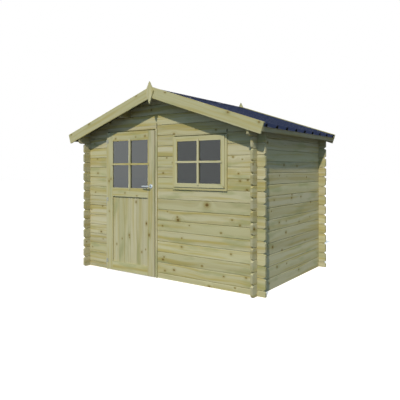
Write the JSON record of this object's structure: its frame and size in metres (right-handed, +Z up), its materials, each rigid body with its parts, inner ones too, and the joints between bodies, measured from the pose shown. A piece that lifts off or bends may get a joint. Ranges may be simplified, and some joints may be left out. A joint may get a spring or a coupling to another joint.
{
  "type": "garden shed",
  "caption": "Log-built garden shed with notched corners, a gable roof of ribbed steel sheet, a glazed door that opens outwards and a fixed window.",
  "frame": {"origin": "on the ground at the middle of the shed's width and depth", "axes": "+X to the right seen from the front, +Y to the rear, +Z up; the front wall with door and window faces -Y"},
  "size_m": [3.1854, 2.1314, 2.4527],
  "materials": {
    "log_wood": "pressure-treated pale green-brown softwood, planed",
    "roof_wood": "pressure-treated softwood, planed",
    "joinery_wood": "pressure-treated softwood, planed smooth",
    "roof_steel": "satin dark blue-grey coated steel sheet",
    "glass": "clear float glass",
    "hinge_steel": "zinc-plated steel",
    "handle_metal": "satin silver metal"
  },
  "bodies": {
    "shed": {"left_wall": "log_wood", "right_wall": "log_wood", "left_eave_log": "log_wood", "right_eave_log": "log_wood", "front_wall_left": "log_wood", "front_wall_below_window": "log_wood", "front_wall_pier": "log_wood", "front_wall_right": "log_wood", "front_wall_over_window": "log_wood", "front_gable": "log_wood", "rear_gable": "log_wood", "rear_wall": "log_wood", "left_purlin": "roof_wood", "ridge_purlin": "roof_wood", "right_purlin": "roof_wood", "left_eave_board": "roof_wood", "right_eave_board": "roof_wood", "front_barge_boards": "roof_wood", "rear_barge_boards": "roof_wood", "front_cover_strips": "roof_wood", "rear_cover_strips": "roof_wood", "front_finial": "roof_wood", "rear_finial": "roof_wood", "right_roof_sheet": "roof_steel", "left_roof_sheet": "roof_steel", "ridge_cap": "roof_steel", "door_post_left": "joinery_wood", "door_post_right": "joinery_wood", "door_head": "joinery_wood", "door_sill": "joinery_wood", "window_frame": "joinery_wood", "window_sash": "joinery_wood", "window_glazing_bars": "joinery_wood", "window_glass": "glass", "hinge_frame_halves": "hinge_steel"},
    "door": {"door_rails": "joinery_wood", "door_stiles": "joinery_wood", "door_panel": "joinery_wood", "door_glass": "glass", "door_glazing_bars": "joinery_wood", "hinge_leaf_halves": "hinge_steel", "handle_rosettes": "handle_metal"},
    "lever": {"lever_handle": "handle_metal"}
  },
  "joints": [
    {"name": "door_hinge", "type": "hinge", "parent": "shed", "child": "door", "pos_m": [-0.981, -0.8724, 0], "axis": [0, 0, -1], "range_deg": [0, 100]},
    {"name": "lever_turn", "type": "hinge", "parent": "door", "child": "lever", "pos_m": [-0.14775, -0.8784, 1.16], "axis": [0, -1, 0], "range_deg": [0, 40], "stiffness_Nm_per_rad": 1.5, "springref_deg": -28.65}
  ]
}
